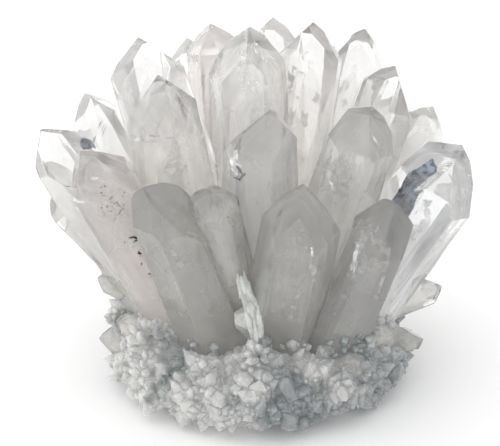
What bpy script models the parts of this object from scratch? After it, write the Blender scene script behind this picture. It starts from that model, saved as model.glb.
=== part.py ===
"""A quartz crystal cluster: clear six-sided points that radiate from a drusy white matrix.

Every point grew outwards from the rock, so its axis runs from a growth centre on the Z axis,
which for the large points lies below the base. A point is placed by the bearing and lean of that
axis and by how far its tip reaches. Bearing 0 is to the right (+X), 90 is the back (+Y), 180 the
left and 270 the front (-Y).
"""

import math
import random
from collections import namedtuple

import bmesh
import bpy
from mathutils import Matrix, Vector, noise

MM = 0.001

# Driving dimensions of the whole cluster.
ROOT_HEIGHT = 9 * MM  # every crystal starts about this high, inside the rock
MATRIX_RADIUS = 38 * MM
MATRIX_HEIGHT = 19 * MM
RESTING_RADIUS = 27 * MM
GAP = 0.3 * MM  # left between neighbours that grew into contact

# The habit of quartz.
SIDES = 6
FACE_NORMAL_TILT = math.radians(51.8)  # a termination face's normal, from the crystal's long axis
TAPER = math.radians(1.4)  # a prism face leans in towards the tip by this much
SHOULDER_DROP = 0.6  # the prism's widths are measured this many widths below the apex
MINOR_LIFT = (0.08, 0.32)  # how much higher the three minor tip faces would meet, in widths
STUBS = 84  # coarse druse crystals over the shoulder and flank of the matrix
STUB_WIDTHS = (4.0 * MM, 7.0 * MM)
STUB_LENGTHS = (2.0 * MM, 4.5 * MM)
STUB_DEPTH = 5.5 * MM  # how deep a stub is rooted
GOLDEN_ANGLE = 137.508  # degrees from one stub to the next, which spreads them evenly

# name; start: the height on the Z axis that the crystal's axis runs from, mm; bearing and lean of
# the axis, degrees; reach of the tip from there and width across the flats, mm; roll of the faces
# about the axis, degrees; skew: how far the apex stands off the axis, as a share of the width, and
# toward which side, degrees. The order is the order of growth: where two meet, the later one is
# cut short by the earlier. The low spurs round the rim start higher than the large points.
Point = namedtuple("Point", "name start bearing lean reach width roll skew toward")

POINTS = (
    Point("point_front_centre", -22, 287, 23, 99.5, 17.5, 26, 0.1, 116),
    Point("point_front_left", -22, 231.4, 24.3, 100.2, 16.5, 109, 0.27, 160),
    Point("point_front_right", -45, 320.5, 21.9, 115, 15, 50, 0.2, 70),
    Point("point_centre", -22, 269.5, 9.4, 108, 16.5, 20, 0.16, 0),
    Point("point_left_front", -22, 198, 27, 105, 16.5, 68, 0.15, 128),
    Point("point_right_inner", -22, 337, 16.5, 109, 15.5, 81, 0.1, 81),
    Point("point_left_broad", -90, 192, 8.9, 181, 17, 43, 0.1, 60),
    Point("point_crown", -22, 107, 6.2, 119, 18, 81, 0.06, 21),
    Point("point_far_left", -22, 182, 31, 110, 15, 57, 0.3, 117),
    Point("point_far_right", -22, 354, 30.9, 105.5, 20.5, 83, 0.1, 113),
    Point("point_front_left_inner", -22, 245, 19, 95.5, 12, 95, 0.05, 335),
    Point("point_left_tall", -22, 160, 17, 120, 17.5, 20, 0.15, 80),
    Point("point_crown_right", -22, 57.5, 13.8, 119, 16, 48, 0.05, 168),
    Point("point_right_shoulder", -22, 23, 21, 113, 17, 114, 0.1, 114),
    Point("point_crown_left", -22, 112, 16, 118, 16, 83, 0.1, 203),
    Point("point_back_right", -22, 48, 22.5, 119, 16, 20, 0.1, 140),
    Point("point_back_centre", -22, 85, 26, 119.5, 14, 55, 0.05, 175),
    Point("point_back_left", -22, 110, 31, 116.5, 13, 90, 0.05, 210),
    Point("point_back_left_outer", -22, 149, 32.5, 109, 15, 118, 0.15, 58),
    Point("point_back_right_outer", -22, 37, 36.5, 106, 12.5, 7, 0.1, 127),
    Point("point_rear_left", -8, 130, 48, 80, 15, 12, 0.1, 90),
    Point("point_rear_centre", -8, 86, 49, 82, 16, 0, 0.1, 90),
    Point("point_rear_right", -8, 58, 48, 78, 14, 20, 0.12, 0),
    Point("point_rear_inner", -8, 108, 50, 79, 13, 0, 0.05, 0),
    Point("point_left_behind", -8, 167, 46, 82, 11, 0, 0.05, 0),
    Point("point_side_right", -8, 17, 48, 73, 10, 0, 0.05, 0),
    Point("spur_right", 4, 0, 66, 54.5, 8, 10, 0.1, 0),
    Point("spur_right_back", 4, 24, 70, 52, 9, 10, 0.1, 0),
    Point("spur_right_low", 4, 350, 78, 46.5, 6.5, 25, 0.1, 0),
    Point("spur_left", 4, 185, 60, 51.5, 5, 0, 0.1, 0),
    Point("spur_left_back", 4, 168, 66, 50, 8, 20, 0.1, 0),
    Point("spur_left_low", 4, 188, 80, 45.5, 7, 0, 0.1, 0),
    Point("spur_left_front", 4, 203, 66, 46, 5.5, 0, 0.1, 0),
    Point("spur_gap_left", 4, 262, 46, 41, 6, 0, 0.1, 0),
    Point("spur_gap_low", 4, 276, 63, 43, 4.5, 0, 0.1, 0),
    Point("spur_front_right", 4, 314, 72, 41.5, 6.5, 0, 0.1, 0),
    Point("spur_side_right", 4, 333, 68, 44.5, 6, 25, 0.1, 0),
    Point("spur_rear_left", 4, 147, 64, 52, 10, 15, 0.05, 0),
    Point("spur_rear_centre", 4, 97, 66, 54, 11, 0, 0.08, 0),
    Point("spur_rear_right", 4, 46, 64, 53, 10, 10, 0.05, 0),
    Point("spur_rear_low_left", 4, 122, 78, 46, 8, 10, 0.05, 0),
    Point("spur_rear_low_right", 4, 72, 78, 46, 8, 0, 0.05, 0),
)


def clear_scene():
    for thing in list(bpy.data.objects):
        bpy.data.objects.remove(thing, do_unlink=True)


def axis_direction(bearing, lean):
    """Unit vector of a crystal's long axis."""
    b, t = math.radians(bearing), math.radians(lean)
    return Vector((math.sin(t) * math.cos(b), math.sin(t) * math.sin(b), math.cos(t)))


def cleave(bm, normal, distance):
    """Takes off everything past the plane at this distance along normal, and closes the cut."""
    normal = normal.normalized()
    cut = bmesh.ops.bisect_plane(
        bm,
        geom=bm.verts[:] + bm.edges[:] + bm.faces[:],
        dist=1e-7,
        plane_co=normal * distance,
        plane_no=normal,
        clear_outer=True,
    )
    rim = [e for e in cut["geom_cut"] if isinstance(e, bmesh.types.BMEdge)]
    if rim:
        bmesh.ops.holes_fill(bm, edges=rim, sides=0)


def crystal_mesh(name, root, reach, width, roll=0.0, skew=0.0, toward=0.0, room=0.0):
    """A terminated quartz point about the local Z axis, from z = root to its apex at z = reach.

    It is a block cleaved by six prism faces and six termination faces. The three major
    termination faces meet at the apex, and the three minor ones start a little lower. room moves
    every face outwards, which makes the cutter for a neighbour.
    """
    chance = random.Random(name)
    bm = bmesh.new()
    block = 2.4 * width
    bmesh.ops.create_cube(bm, size=1.0)
    bmesh.ops.scale(bm, vec=(block, block, 2 * reach), verts=bm.verts)
    bmesh.ops.translate(bm, vec=(0, 0, reach), verts=bm.verts)
    off = math.radians(toward)
    apex = Vector((math.cos(off), math.sin(off), 0)) * skew * width + Vector((0, 0, reach))
    for side in range(SIDES):
        turn = math.radians(roll) + side * math.tau / SIDES
        out = Vector((math.cos(turn), math.sin(turn), 0))
        lean = TAPER * chance.uniform(0.4, 1.8)
        prism = out * math.cos(lean) + Vector((0, 0, math.sin(lean)))
        shoulder = out * (width / 2 * chance.uniform(0.92, 1.06))
        shoulder.z = reach - SHOULDER_DROP * width
        cleave(bm, prism, prism.dot(shoulder) + room)
        tip = out * math.sin(FACE_NORMAL_TILT) + Vector((0, 0, math.cos(FACE_NORMAL_TILT)))
        minor = side % 2
        lift = width * chance.uniform(*MINOR_LIFT) * minor
        cleave(bm, tip, tip.dot(apex + Vector((0, 0, lift))) + room)
    cleave(bm, Vector((0, 0, -1)), -root + room)
    bmesh.ops.recalc_face_normals(bm, faces=bm.faces)
    mesh = bpy.data.meshes.new(name)
    bm.to_mesh(mesh)
    bm.free()
    return mesh


def add_object(name, mesh):
    thing = bpy.data.objects.new(name, mesh)
    bpy.context.scene.collection.objects.link(thing)
    return thing


def stand(thing, direction, origin):
    """Turns an object built about local Z onto this direction, with its origin at this point."""
    thing.rotation_mode = "QUATERNION"
    thing.rotation_quaternion = Vector((0, 0, 1)).rotation_difference(direction)
    thing.location = origin
    return thing


def centre_of(point):
    return Vector((0, 0, point.start * MM))


def root_of(point):
    """How far from its growth centre a crystal starts: inside the rock, short of its middle."""
    deep = (ROOT_HEIGHT - point.start * MM) / math.cos(math.radians(point.lean))
    return min(deep, 0.45 * point.reach * MM)


def grow(point, room=0.0):
    mesh = crystal_mesh(
        point.name,
        root_of(point) - room,
        point.reach * MM,
        point.width * MM,
        point.roll,
        point.skew,
        point.toward,
        room,
    )
    along = axis_direction(point.bearing, point.lean)
    return stand(add_object(point.name, mesh), along, centre_of(point))


def axis_spots(point):
    """Spots along a point's axis, from its root to its tip."""
    along = axis_direction(point.bearing, point.lean)
    step = (point.reach * MM - root_of(point)) / 12
    return [centre_of(point) + along * (root_of(point) + step * i) for i in range(13)]


def near(one, two):
    """Whether two points can touch, by how close their axes pass for their widths."""
    apart = min((a - b).length for a in axis_spots(one) for b in axis_spots(two))
    return apart < 0.62 * (one.width + two.width) * MM + 3 * MM


def matrix_top(radius):
    """Height of the rock under the crystals, at this distance from the middle."""
    share = min(radius / MATRIX_RADIUS, 1.0)
    return MATRIX_HEIGHT * (1 - 0.42 * share**2.6)


def matrix_core(name, swell=0.0):
    """The rock mound: a flat-bottomed dome whose rim curls under to the resting face."""
    segments = 28
    profile = []
    for step in range(1, 7):
        radius = MATRIX_RADIUS * 0.9 * step / 6
        profile.append((radius, matrix_top(radius)))
    profile.append((MATRIX_RADIUS * 0.98, MATRIX_HEIGHT * 0.40))
    profile.append((MATRIX_RADIUS * 0.96, MATRIX_HEIGHT * 0.22))
    profile.append((MATRIX_RADIUS * 0.86, MATRIX_HEIGHT * 0.07))
    profile.append((RESTING_RADIUS, 0.0))
    bm = bmesh.new()
    crown = bm.verts.new((0, 0, matrix_top(0)))
    rings = []
    for radius, height in profile:
        ring = []
        for step in range(segments):
            turn = step * math.tau / segments
            spot = Vector((radius * math.cos(turn), radius * math.sin(turn), height))
            lump = noise.noise(spot * 60 + Vector((3, 5, 7)))
            if height > 0:
                spot.x *= 1 + 0.07 * lump
                spot.y *= 1 + 0.07 * lump
                spot.z += 1.6 * MM * noise.noise(spot * 110)
            else:
                spot.x *= 1 + 0.10 * lump
                spot.y *= 1 + 0.10 * lump
            ring.append(bm.verts.new(spot))
        rings.append(ring)
    for step in range(segments):
        after = (step + 1) % segments
        bm.faces.new((crown, rings[0][step], rings[0][after]))
        for upper, lower in zip(rings, rings[1:]):
            bm.faces.new((upper[step], lower[step], lower[after], upper[after]))
    bm.faces.new(list(reversed(rings[-1])))
    bmesh.ops.triangulate(bm, faces=bm.faces)
    bmesh.ops.recalc_face_normals(bm, faces=bm.faces)
    if swell:
        bm.normal_update()
        for vert in bm.verts:
            vert.co += vert.normal * swell
    mesh = bpy.data.meshes.new(name)
    bm.to_mesh(mesh)
    bm.free()
    return add_object(name, mesh)


def carve(thing, cutters, operation="DIFFERENCE"):
    """Applies one Boolean with every cutter, and leaves a plain mesh in place."""
    group = bpy.data.collections.new("cutters")
    for cutter in cutters:
        group.objects.link(cutter)
    step = thing.modifiers.new("carve", "BOOLEAN")
    step.operation = operation
    step.operand_type = "COLLECTION"
    step.collection = group
    bpy.context.view_layer.update()
    graph = bpy.context.evaluated_depsgraph_get()
    made = bpy.data.meshes.new_from_object(thing.evaluated_get(graph))
    thing.modifiers.clear()
    thing.data = made
    bpy.data.collections.remove(group)


def keep_body_at(thing, spot):
    """Keeps only the connected body that holds the vertex nearest to spot, in local axes."""
    bm = bmesh.new()
    bm.from_mesh(thing.data)
    bm.verts.ensure_lookup_table()
    start = min(bm.verts, key=lambda v: (v.co - spot).length)
    found, frontier = {start}, [start]
    while frontier:
        vert = frontier.pop()
        for link in vert.link_edges:
            other = link.other_vert(vert)
            if other not in found:
                found.add(other)
                frontier.append(other)
    bmesh.ops.delete(bm, geom=[v for v in bm.verts if v not in found], context="VERTS")
    bm.to_mesh(thing.data)
    bm.free()


def druse_stubs():
    """Stubby crystals crowded over the shoulder and flank of the matrix."""
    chance = random.Random(11)
    stubs = []
    for i in range(STUBS):
        bearing = math.radians((i * GOLDEN_ANGLE) % 360)
        drop = (i + 0.5) / STUBS  # 0 high on the shoulder, 1 curled under the rim
        radius = MATRIX_RADIUS * (0.84 + 0.17 * math.sin(drop * math.pi * 0.85))
        height = MATRIX_HEIGHT * (0.86 - 0.72 * drop)
        spot = Vector((radius * math.cos(bearing), radius * math.sin(bearing), height))
        out = Vector((math.cos(bearing), math.sin(bearing), 1.1 - 1.5 * drop))
        out += Vector([chance.uniform(-0.3, 0.3) for _ in range(3)])
        out.normalize()
        width = chance.uniform(*STUB_WIDTHS)
        length = chance.uniform(*STUB_LENGTHS) * (1.15 - 0.5 * drop)
        room_below = spot.z - 0.5 * width - 0.5 * MM
        if out.z < 0 and length * -out.z > room_below:
            length = max(1.2 * MM, room_below / -out.z)
        roll = chance.uniform(0, 60)
        mesh = crystal_mesh("stub_" + str(i), 0, STUB_DEPTH + length, width, roll)
        stubs.append(stand(add_object("stub", mesh), out, spot - out * STUB_DEPTH))
    return stubs


def finish(name, colour, roughness):
    """A plain material in the piece's own colour."""
    material = bpy.data.materials.new(name)
    material.use_nodes = True
    shader = material.node_tree.nodes["Principled BSDF"]
    shader.inputs["Base Color"].default_value = (*colour, 1)
    shader.inputs["Roughness"].default_value = roughness
    return material


def main():
    clear_scene()
    rock_cutter = matrix_core("rock_cutter", 1.5 * GAP)
    cutters = [grow(point, GAP) for point in POINTS]
    crystals = [grow(point) for point in POINTS]
    bpy.context.view_layer.update()
    for i, crystal in enumerate(crystals):
        earlier = [cutters[j] for j in range(i) if near(POINTS[i], POINTS[j])]
        carve(crystal, earlier + [rock_cutter])
        keep_body_at(crystal, Vector((0, 0, POINTS[i].reach * MM)))
    stubs = druse_stubs()
    druse = stubs[0]
    carve(druse, stubs[1:], "UNION")
    carve(druse, cutters)
    core = matrix_core("matrix")
    carve(core, [druse], "UNION")
    keep_body_at(core, Vector((0, 0, 0)))
    for helper in stubs + cutters + [rock_cutter]:
        bpy.data.objects.remove(helper, do_unlink=True)
    core.name = "matrix"
    for crystal, point in zip(crystals, POINTS):
        crystal.name = point.name
        crystal.data.materials.clear()
        crystal.data.materials.append(finish("clear_quartz", (0.86, 0.86, 0.85), 0.08))
    core.data.materials.clear()
    core.data.materials.append(finish("milky_druse", (0.62, 0.62, 0.61), 0.5))


main()
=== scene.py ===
# %% [markdown]
# # A quartz crystal cluster
# Quartz grows outwards from the wall of a cavity, so a cluster is a crust of small milky crystals,
# the druse, with long clear points that fan out of it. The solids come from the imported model. This
# lesson gives them what a plain solid doesn't have: faces that wave a little, edges a fraction of a
# millimetre round, milk that clears towards the tips, healed cracks inside, and the druse itself.
# Every piece is built at the origin, in the frame's own metres, and rides on the one body.

import bpy
import numpy as np
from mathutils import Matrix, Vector


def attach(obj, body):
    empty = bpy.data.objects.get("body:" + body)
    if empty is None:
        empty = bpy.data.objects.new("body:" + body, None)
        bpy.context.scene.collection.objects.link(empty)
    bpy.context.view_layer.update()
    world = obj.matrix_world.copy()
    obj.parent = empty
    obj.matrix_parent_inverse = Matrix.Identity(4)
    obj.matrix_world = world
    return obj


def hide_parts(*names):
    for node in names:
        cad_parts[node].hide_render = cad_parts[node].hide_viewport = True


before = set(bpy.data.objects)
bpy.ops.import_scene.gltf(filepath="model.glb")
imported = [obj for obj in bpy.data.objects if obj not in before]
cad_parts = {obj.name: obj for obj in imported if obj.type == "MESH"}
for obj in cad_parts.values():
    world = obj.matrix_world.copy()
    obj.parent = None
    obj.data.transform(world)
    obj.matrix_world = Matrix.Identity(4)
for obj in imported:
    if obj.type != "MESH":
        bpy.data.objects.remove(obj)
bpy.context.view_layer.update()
MM = 0.001
crystal_nodes = sorted(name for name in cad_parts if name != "matrix")

# %% [markdown]
# ## The camera
# A cluster is shown from a little above, so that the crystals in front don't hide the ones behind.
# A long lens from half a metre keeps the outer points from splaying.

# %% Camera
CAMERA_HEIGHT_ANGLE = np.radians(25.0)
CAMERA_DISTANCE = 0.508
LOOK_AT = Vector((-0.0027, 0.0, 0.0446))

camera_data = bpy.data.cameras.new("camera")
camera_data.lens = 135
camera_data.sensor_width = 36
camera = bpy.data.objects.new("camera", camera_data)
bpy.context.scene.collection.objects.link(camera)
towards_camera = Vector((0.0, -np.cos(CAMERA_HEIGHT_ANGLE), np.sin(CAMERA_HEIGHT_ANGLE)))
camera.location = LOOK_AT + towards_camera * CAMERA_DISTANCE
camera.rotation_euler = (-towards_camera).to_track_quat("-Z", "Y").to_euler()
bpy.context.scene.camera = camera
print("camera at", [round(x, 3) for x in camera.location])

# %% [markdown]
# ## Reading a crystal's own faces
# A CAD crystal ends where it meets its neighbours and the rock, so its mesh has cut faces besides
# its crystal faces. A real crystal is convex: each of its own faces has the whole crystal behind
# it, and a cut face doesn't. That test finds the planes that the crystal grew with.


# %% Planes, axis and apex
BEHIND_BY = 0.02 * MM
SAME_DIRECTION = 0.9998
SAME_PLANE = 0.05 * MM
# What a plane is shows in how far its normal points along the axis: that of a prism face hardly
# does, that of a tip face points up, and one that points down is the cut at the root.
PRISM_SLANT = 0.26
TIP_SLANT = 0.3
ROOT_SLANT = -0.12


def read(items, key, width=3, kind=float):
    """One value of every vertex, corner or face of a mesh, as rows of this width."""
    values = np.empty(len(items) * width, kind)
    items.foreach_get(key, values)
    return values.reshape(-1, width)


def mesh_arrays(node):
    """Corners of a CAD node, and the outward normal, centre and area of each of its triangles."""
    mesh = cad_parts[node].data
    faces = mesh.polygons
    areas = read(faces, "area", 1)[:, 0]
    return read(mesh.vertices, "co"), read(faces, "normal"), read(faces, "center"), areas


def own_planes(node):
    """Normals, distances and areas of the planes that have every corner of the crystal behind them."""
    corners, normals, centres, areas = mesh_arrays(node)
    distances = (normals * centres).sum(1)
    behind = (corners @ normals.T).max(0) - distances < BEHIND_BY
    normals, distances, areas = normals[behind], distances[behind], areas[behind]
    alike = normals @ normals.T > SAME_DIRECTION
    alike &= abs(distances[:, None] - distances) < SAME_PLANE
    total = (alike * areas).sum(1)
    kept = np.unique(alike.argmax(1))
    return normals[kept], distances[kept], total[kept]


def long_axis(normals, areas):
    """The direction most nearly parallel to the prism faces, pointing up.

    It makes the sum of area x (normal . axis) squared least, first over all planes, then over
    those within 15 degrees of parallel.
    """
    chosen = np.ones(len(areas), bool)
    for _ in range(2):
        weighted = normals[chosen] * areas[chosen, None]
        axis = np.linalg.eigh(weighted.T @ normals[chosen])[1][:, 0]
        axis *= np.sign(axis[2])
        chosen = abs(normals @ axis) < PRISM_SLANT
    return axis


class Crystal:
    """A crystal's planes, and the spine from its apex to the middle of its root.

    A plane is normal . point = distance, and the space from the spine to it is linear in depth:
    gap + depth x slope, where depth is measured down from the apex along the axis.
    """

    def __init__(self, node):
        corners = mesh_arrays(node)[0]
        normals, distances, areas = own_planes(node)
        self.node = node
        self.axis = long_axis(normals, areas)
        heights = corners @ self.axis
        self.apex = corners[heights.argmax()]
        self.length = float(np.ptp(heights))
        side = np.cross(self.axis, (0.0, 1.0, 0.0))
        self.side = side / np.linalg.norm(side)
        self.back = np.cross(self.axis, self.side)
        kept = normals @ self.axis > ROOT_SLANT
        self.normals = normals[kept]
        self.distances = distances[kept]
        self.is_tip = self.normals @ self.axis > TIP_SLANT
        self.root = self.middle_of_root(corners)
        self.spine = (self.root - self.apex) / self.length
        self.gap = self.distances - self.normals @ self.apex
        self.slope = -self.normals @ self.spine
        along = (self.apex - corners) @ self.axis
        off_spine = corners - self.apex - along[:, None] * self.spine
        self.widest = float(np.linalg.norm(off_spine, axis=1).max()) + 0.1 * MM

    def middle_of_root(self, corners):
        """The point at root depth that is as nearly as can be the same distance from each prism face."""
        across = np.stack([self.side, self.back])
        start = self.apex - self.length * self.axis
        start = start + ((corners.mean(0) - start) @ across.T) @ across
        prism = self.normals[~self.is_tip]
        unknowns = np.column_stack([prism @ across.T, np.ones(len(prism))])
        space = self.distances[~self.is_tip] - prism @ start
        return start + np.linalg.lstsq(unknowns, space, rcond=None)[0][:2] @ across

    def outward(self, turns):
        """Unit vectors square to the axis: side x cosine of the turn + back x its sine."""
        return np.cos(turns)[..., None] * self.side + np.sin(turns)[..., None] * self.back

    def closeness(self, turns, depths):
        """1 / distance from the spine to each plane, in a last dimension, and 0 where a plane faces away."""
        facing = self.outward(turns) @ self.normals.T
        space = self.gap + depths[..., None] * self.slope
        return np.maximum(facing, 0) / np.maximum(space, 1e-7)


crystals = {node: Crystal(node) for node in crystal_nodes}
print("planes per crystal:", sorted(len(c.gap) for c in crystals.values()))

# %% [markdown]
# ## One crystal's skin
# A hexagonal point could be cut from a cylinder or extruded, but then its edges are knife sharp and
# its faces perfectly flat, and glass shows both at once. Here the skin is a grid of turn and depth:
# at each grid point the distance to the nearest plane gives the radius. A soft maximum in place of
# a hard one rounds the edges, and it costs nothing. The grid lines crowd together at the edges, so
# that flat faces get few points and the edges get many.

# %% The skin as a grid of turn and depth
TURNS = np.linspace(0, 2 * np.pi, 481)
EDGE_ROUNDING = 0.05 * MM
ROUNDING_BY_POWER = 0.7
# Shares of the length at which the shoulder, where the tip ends, is looked for.
SHOULDER_SEARCH = np.linspace(0.001, 0.6, 700)
# How many times closer the columns stand at an edge, and how sharply that falls off beside it.
CROWDING = 12.0
EVENNESS_POWER = 40
BLENDED_ROWS = 4.0


def soft_radius(crystal, turns, depths, rounding):
    """Radius of the crystal: (sum of closeness to the power p) to the power -1/p.

    With p large that is the distance to the nearest plane, rounded by about 0.7 radius / p where
    two planes are equally near. A round wall at the widest corner closes sides that have no plane.
    """
    closeness = crystal.closeness(turns, depths)
    wall = np.full(closeness.shape[:-1] + (1,), 1 / crystal.widest)
    closeness = np.concatenate([closeness, wall], axis=-1)
    nearest = closeness.max(-1, keepdims=True)
    power = ROUNDING_BY_POWER * crystal.widest / rounding
    total = ((closeness / nearest) ** power).sum(-1)
    return total ** (-1 / power) / nearest[..., 0]


def shoulder_depths(crystal):
    """For each turn, the depth at which a prism face takes over from the tip faces.

    Where none does, it is a fifth of the way down, and it is at most twice the median depth.
    """
    depths = SHOULDER_SEARCH * crystal.length
    closeness = crystal.closeness(TURNS[:, None], depths[None, :])
    tip = closeness[..., crystal.is_tip].max(-1)
    prism = closeness[..., ~crystal.is_tip].max(-1)
    passed = prism >= tip
    found = np.where(passed.any(1), passed.argmax(1), len(depths) // 3)
    return np.minimum(depths[found], 2 * np.median(depths[found]))


def crowded_turns(crystal, depths, columns):
    """Turns for each row, close together where two planes are almost equally near.

    The weight of a turn is 1 + crowding x (how evenly the two nearest planes share it), and the
    columns stand at equal steps of the weight's running total. The evenness is first averaged over
    nearby rows, by a bell curve, so that columns bend gently from prism edges to tip edges.
    """
    closeness = np.sort(crystal.closeness(TURNS[None, :], depths), axis=-1)
    evenness = (closeness[..., -2] / np.maximum(closeness[..., -1], 1e-9)) ** EVENNESS_POWER
    order = np.arange(len(depths))
    bell = np.exp(-(((order[:, None] - order) / BLENDED_ROWS) ** 2))
    evenness = bell @ evenness / bell.sum(1)[:, None]
    weight = 1 + CROWDING * evenness
    total = np.cumsum(weight, axis=1)
    total = (total - total[:, :1]) / np.ptp(total, axis=1)[:, None]
    wanted = np.arange(columns) / columns
    return np.stack([np.interp(wanted, row, TURNS) for row in total])


# %% [markdown]
# ## Faces that aren't quite flat
# A crystal grows in thin sheets, so its faces have low swells. They are only a few hundredths of a
# millimetre high, but each bends a reflection, and that is how the eye tells a face from a facet
# that was cut and polished.

# %% Swells, and the grid of one skin
WAVES = 5
WAVE_LENGTHS = (5, 16)
FACE_STEEPNESS = 0.0032
# No swell has its full height where the crystal is thinner than this, so that the apex stays put.
FULL_SWELL_RADIUS = 3 * MM
BESIDE_SHOULDER = 0.1 * MM


def face_waves(points, steepness, rng):
    """A sum of sines over place, in random directions, each 5 to 16 mm long and steepness x that high."""
    directions = rng.normal(size=(WAVES, 3))
    directions /= np.linalg.norm(directions, axis=1)[:, None]
    lengths = rng.uniform(*WAVE_LENGTHS, WAVES) * MM
    heights = lengths * steepness
    phases = rng.uniform(0, 2 * np.pi, WAVES)
    along = points @ (directions / lengths[:, None]).T
    return (np.sin(along * 2 * np.pi + phases) * heights).sum(-1)


def crystal_grid(crystal, size, rng, rounding=EDGE_ROUNDING, steepness=FACE_STEEPNESS):
    """Points of the skin in rows from the tip down, and the depth of each.

    Tip rows stand at equal shares of the shoulder depth, from 0.04 on, and body rows at share to
    the power 1.25 of what is left. A row just above the shoulder and one just below keep it crisp.
    """
    columns, tip_rows, body_rows = size
    shoulder = shoulder_depths(crystal)
    tip_share = np.linspace(0.04, 1, tip_rows)[:, None]
    body_share = np.linspace(0, 1, body_rows - 1)[1:, None] ** 1.25
    tip = tip_share * shoulder
    body = shoulder + body_share * (crystal.length - shoulder)
    beside = tip[-1:] + np.array([[-1.0], [0.0], [1.0]]) * BESIDE_SHOULDER
    guide = np.concatenate([tip[:-1], beside, body])
    turns = crowded_turns(crystal, guide, columns)
    turns[tip_rows - 1] = turns[tip_rows]
    turns[tip_rows + 1] = turns[tip_rows]
    depths = np.stack([np.interp(turns[i], TURNS, guide[i]) for i in range(len(guide))])
    spine = crystal.apex + depths[..., None] * crystal.spine
    radius = soft_radius(crystal, turns, depths, rounding)
    outward = crystal.outward(turns)
    swell = face_waves(spine + radius[..., None] * outward, steepness, rng)
    fade = np.minimum(1, radius / FULL_SWELL_RADIUS)
    points = spine + (radius + swell * fade)[..., None] * outward
    return points, depths


# %% [markdown]
# ## From grid to mesh
# The rows close on themselves, the first row closes on the apex and the last on the middle of the
# root, so that each piece is a closed body that light can enter and leave.


# %% Closed mesh from a grid
def closed_tube(rows, columns):
    """Faces of a tube of points, with a point before the first row and one after the last."""
    grid = np.arange(rows * columns).reshape(rows, columns) + 1
    ahead = np.roll(grid, -1, axis=1)
    walls = np.stack([grid[:-1], grid[1:], ahead[1:], ahead[:-1]], axis=-1).reshape(-1, 4)
    first = np.stack([np.zeros(columns, int), grid[0], ahead[0]], axis=-1)
    last = np.stack([np.full(columns, rows * columns + 1), ahead[-1], grid[-1]], axis=-1)
    return walls.tolist() + first.tolist() + last.tolist()


def new_piece(name, points, faces, material, smooth=True, attributes=None):
    """A mesh object at the origin that rides on the body, with values of its own per point."""
    mesh = bpy.data.meshes.new(name)
    mesh.from_pydata(np.asarray(points).reshape(-1, 3), [], faces)
    mesh.polygons.foreach_set("use_smooth", np.zeros(len(mesh.polygons), bool) | smooth)
    for key, values in (attributes or {}).items():
        vector = np.ndim(values) == 2
        layer = mesh.attributes.new(key, "FLOAT_VECTOR" if vector else "FLOAT", "POINT")
        layer.data.foreach_set("vector" if vector else "value", np.ravel(values).astype(np.float32))
    mesh.materials.append(material)
    mesh.update()
    piece = bpy.data.objects.new(name, mesh)
    bpy.context.scene.collection.objects.link(piece)
    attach(piece, "root")
    return piece


# %% [markdown]
# ## Colours and nodes
# Colours are written as sRGB hex, as a paint maker gives them, and turned to the linear values that
# a renderer adds up. One helper adds any node, and another fills the inputs of a node or a shader.


# %% Material helpers
def linear(hex_colour):
    """sRGB hex to linear RGBA: (value + 0.055) / 1.055 to the power 2.4, nearly straight when dark."""
    value = np.array([int(hex_colour[i : i + 2], 16) for i in (1, 3, 5)]) / 255
    light = np.where(value < 0.04045, value / 12.92, ((value + 0.055) / 1.055) ** 2.4)
    return (*light.tolist(), 1.0)


def fill(tree, node, inputs):
    """Fill a node's inputs: one given as a socket is linked, and any other is a value."""
    for key, value in inputs.items():
        if isinstance(value, bpy.types.NodeSocket):
            tree.links.new(value, node.inputs[key])
        else:
            node.inputs[key].default_value = value


def add_node(tree, kind, inputs=None, **settings):
    """A node with its settings and its inputs."""
    node = tree.nodes.new(kind)
    for key, value in settings.items():
        setattr(node, key, value)
    fill(tree, node, inputs or {})
    return node


def patchwork(tree, place, size, low, high, values=(0.0, 1.0), detail=3.0, roughness=0.5):
    """Noise in patches of a size in mm, with its range from low to high stretched to these values."""
    noise = {"Vector": place, "Scale": 1 / (size * MM), "Detail": detail, "Roughness": roughness}
    noise = add_node(tree, "ShaderNodeTexNoise", noise).outputs["Fac"]
    spread = {"Value": noise, "From Min": low, "From Max": high}
    spread |= {"To Min": values[0], "To Max": values[1]}
    return add_node(tree, "ShaderNodeMapRange", spread).outputs["Result"]


def new_material(name):
    """A material, its nodes and its shader."""
    material = bpy.data.materials.new(name)
    material.use_nodes = True
    return material, material.node_tree, material.node_tree.nodes["Principled BSDF"]


# %% [markdown]
# ## Clear and milky quartz
# Quartz bends light a little more than window glass does: its index is 1.544. Milky quartz is the
# same crystal full of bubbles too small to see, which scatter light. So one material serves both,
# and the share of milk, stored on each point, turns some of the transmission into soft scattering.

# %% Quartz material
QUARTZ_INDEX = 1.544
TINT_SHARE = 0.7
# In milk, red light travels a little further than blue.
MILK_REACH = (1.0, 0.98, 0.95)


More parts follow.
